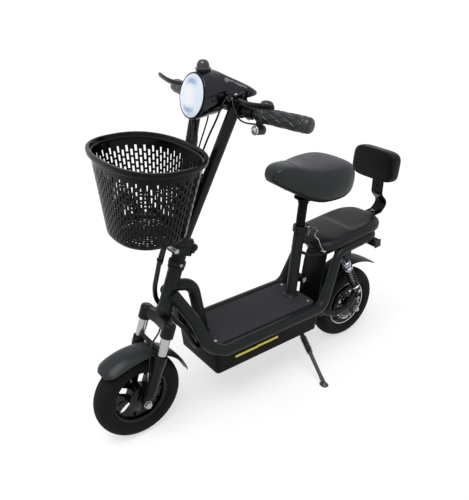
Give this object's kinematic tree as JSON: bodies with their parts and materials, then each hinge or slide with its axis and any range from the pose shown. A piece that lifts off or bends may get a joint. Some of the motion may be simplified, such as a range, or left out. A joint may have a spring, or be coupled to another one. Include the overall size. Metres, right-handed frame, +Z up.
{
  "type": "seated electric scooter",
  "caption": "Seated electric scooter with a step-through deck, folding V-shaped stem, front basket, headlight, saddle on a post, passenger pad with backrest, rear shocks and a side stand.",
  "frame": {"origin": "on the floor, midway along the scooter and on its middle plane", "axes": "+Z up, -Y towards the front wheel, +X towards the rider's left"},
  "size_m": [0.56, 1.0885, 0.997],
  "materials": {
    "frame_paint": "satin",
    "deck_steel": "satin",
    "mat_rubber": "moulded, matt",
    "saddle_cover": "grained",
    "pad_cover": "grained",
    "black_hardware": "semi-gloss",
    "guard_plastic": "satin",
    "gloss_plastic": "gloss",
    "grip_rubber": "knurled",
    "tyre_rubber": "matt",
    "wheel_alloy": "semi-gloss",
    "chromed_tube": "polished",
    "zinc_plate": "plated",
    "damper_alloy": "turned",
    "spring_steel": "gloss",
    "cable_sleeve": "matt",
    "lens_glass": "clear, lit",
    "reflector_film": "retroreflective",
    "cell_case": "matt",
    "controller_case": "cast"
  },
  "bodies": {
    "frame": {"head_tube": "frame_paint", "side_rail_left": "frame_paint", "side_rail_right": "frame_paint", "deck_tray": "frame_paint", "deck_plate": "deck_steel", "deck_mat": "mat_rubber", "battery_pack": "cell_case", "controller": "controller_case", "reflector_left": "reflector_film", "reflector_right": "reflector_film", "seat_tube": "frame_paint", "seat_clamp": "black_hardware", "rack_bed": "frame_paint", "rear_seat_pad": "pad_cover", "backrest_post": "black_hardware", "backrest_pad": "saddle_cover", "rear_fender": "guard_plastic", "kickstand_bracket": "frame_paint", "wiring_loom": "cable_sleeve"},
    "seat": {"seat_post": "black_hardware", "saddle": "saddle_cover"},
    "steering": {"fork_crown": "frame_paint", "stanchion_left": "chromed_tube", "stanchion_right": "chromed_tube", "stem_base": "frame_paint"},
    "fork": {"fork_lowers": "frame_paint", "front_fender": "guard_plastic", "front_axle": "zinc_plate", "brake_plate": "frame_paint", "brake_cable_lower": "cable_sleeve"},
    "brake_cam": {"brake_arm": "zinc_plate"},
    "front_wheel": {"front_tyre": "tyre_rubber", "front_rim": "wheel_alloy"},
    "upper_stem": {"stem": "frame_paint", "basket": "gloss_plastic", "handlebar": "black_hardware", "grip_left": "grip_rubber", "lever_perch_left": "black_hardware", "lever_perch_right": "black_hardware", "switch_pod": "gloss_plastic", "headlight_cowl": "gloss_plastic", "headlight_lens": "lens_glass", "bell": "black_hardware", "brake_cable_upper": "cable_sleeve"},
    "latch": {"fold_lever": "black_hardware"},
    "left_lever": {"brake_lever_left": "black_hardware"},
    "right_lever": {"brake_lever_right": "black_hardware"},
    "throttle": {"throttle_grip": "grip_rubber"},
    "horn": {"horn_button": "zinc_plate"},
    "rear_arm": {"swing_arm": "frame_paint", "rear_axle": "zinc_plate"},
    "rear_wheel": {"rear_tyre": "tyre_rubber", "rear_hub_motor": "wheel_alloy"},
    "left_shock": {"shock_body_left": "damper_alloy", "shock_spring_left": "spring_steel"},
    "left_shock_rod": {"shock_rod_left": "chromed_tube"},
    "right_shock": {"shock_body_right": "damper_alloy", "shock_spring_right": "spring_steel"},
    "right_shock_rod": {"shock_rod_right": "chromed_tube"},
    "stand": {"kickstand": "frame_paint"}
  },
  "joints": [
    {"name": "steer", "type": "hinge", "parent": "frame", "child": "steering", "pos_m": [0, -0.31589, 0.3587], "axis": [0, 0.342, 0.9397], "range_deg": [-35, 35], "deforming": ["wiring_loom"]},
    {"name": "fork_travel", "type": "slide", "parent": "steering", "child": "fork", "axis": [0, 0.342, 0.9397], "range_m": [0, 0.03], "stiffness_N_per_m": 6000, "springref_m": -0.025, "deforming": ["brake_cable_lower"]},
    {"name": "brake_cam_turn", "type": "hinge", "parent": "fork", "child": "brake_cam", "pos_m": [0.0348, -0.424, 0.1515], "axis": [1, 0, 0], "range_deg": [0, 11], "deforming": ["brake_cable_lower"]},
    {"name": "front_wheel_spin", "type": "hinge", "parent": "fork", "child": "front_wheel", "pos_m": [0, -0.416, 0.1275], "axis": [1, 0, 0], "continuous": true},
    {"name": "stem_fold", "type": "hinge", "parent": "steering", "child": "upper_stem", "pos_m": [0, -0.2263, 0.52882], "axis": [-1, 0, 0], "range_deg": [0, 24], "deforming": ["wiring_loom"]},
    {"name": "fold_lever_turn", "type": "hinge", "parent": "steering", "child": "latch", "pos_m": [-0.0259, -0.28115, 0.53601], "axis": [-1, 0, 0], "range_deg": [0, 70]},
    {"name": "left_brake_pull", "type": "hinge", "parent": "upper_stem", "child": "left_lever", "pos_m": [0.101, -0.148, 0.919], "axis": [-0.0559, -0.2792, 0.9586], "range_deg": [0, 20], "stiffness_Nm_per_rad": 1.5, "springref_deg": -11.46},
    {"name": "right_brake_pull", "type": "hinge", "parent": "upper_stem", "child": "right_lever", "pos_m": [-0.101, -0.148, 0.919], "axis": [-0.0559, 0.2792, -0.9586], "range_deg": [0, 20], "stiffness_Nm_per_rad": 1.5, "springref_deg": -11.46},
    {"name": "throttle_twist", "type": "hinge", "parent": "upper_stem", "child": "throttle", "pos_m": [-0.15041, -0.11032, 0.8847], "axis": [-0.9695, 0.2438, -0.0249], "range_deg": [0, 70], "stiffness_Nm_per_rad": 0.3, "springref_deg": -17.19},
    {"name": "horn_press", "type": "slide", "parent": "upper_stem", "child": "horn", "axis": [0, 0.995, -0.0995], "range_m": [0, 0.002], "stiffness_N_per_m": 500, "springref_m": -0.002},
    {"name": "seat_height", "type": "slide", "parent": "frame", "child": "seat", "axis": [0, 0.1028, 0.9947], "range_m": [-0.05, 0.055]},
    {"name": "swing_travel", "type": "hinge", "parent": "frame", "child": "rear_arm", "pos_m": [0, 0.202, 0.191], "axis": [1, 0, 0], "range_deg": [0, 7], "stiffness_Nm_per_rad": 400, "springref_deg": -5.73},
    {"name": "rear_wheel_spin", "type": "hinge", "parent": "rear_arm", "child": "rear_wheel", "pos_m": [0, 0.391, 0.1275], "axis": [1, 0, 0], "continuous": true},
    {"name": "left_shock_lean", "type": "hinge", "parent": "frame", "child": "left_shock", "pos_m": [0.08, 0.294, 0.356], "axis": [1, 0, 0], "range_deg": [0, 2.4]},
    {"name": "left_shock_stroke", "type": "slide", "parent": "left_shock", "child": "left_shock_rod", "axis": [0, -0.4655, 0.8851], "range_m": [0, 0.02], "deforming": ["shock_spring_left"]},
    {"name": "right_shock_lean", "type": "hinge", "parent": "frame", "child": "right_shock", "pos_m": [-0.08, 0.294, 0.356], "axis": [1, 0, 0], "range_deg": [0, 2.4]},
    {"name": "right_shock_stroke", "type": "slide", "parent": "right_shock", "child": "right_shock_rod", "axis": [0, -0.4655, 0.8851], "range_m": [0, 0.02], "deforming": ["shock_spring_right"]},
    {"name": "stand_turn", "type": "hinge", "parent": "frame", "child": "stand", "pos_m": [0.058, 0.141, 0.1345], "axis": [0.7341, 0, 0.6791], "range_deg": [0, 75]}
  ],
  "couplings": [
    {"joint": "brake_cam_turn", "follows": "left_brake_pull", "ratio": 0.5},
    {"joint": "left_shock_lean", "follows": "swing_travel", "ratio": 0.3},
    {"joint": "left_shock_stroke", "follows": "swing_travel", "m_per_rad": 0.1602},
    {"joint": "right_shock_lean", "follows": "swing_travel", "ratio": 0.3},
    {"joint": "right_shock_stroke", "follows": "swing_travel", "m_per_rad": 0.1602}
  ]
}
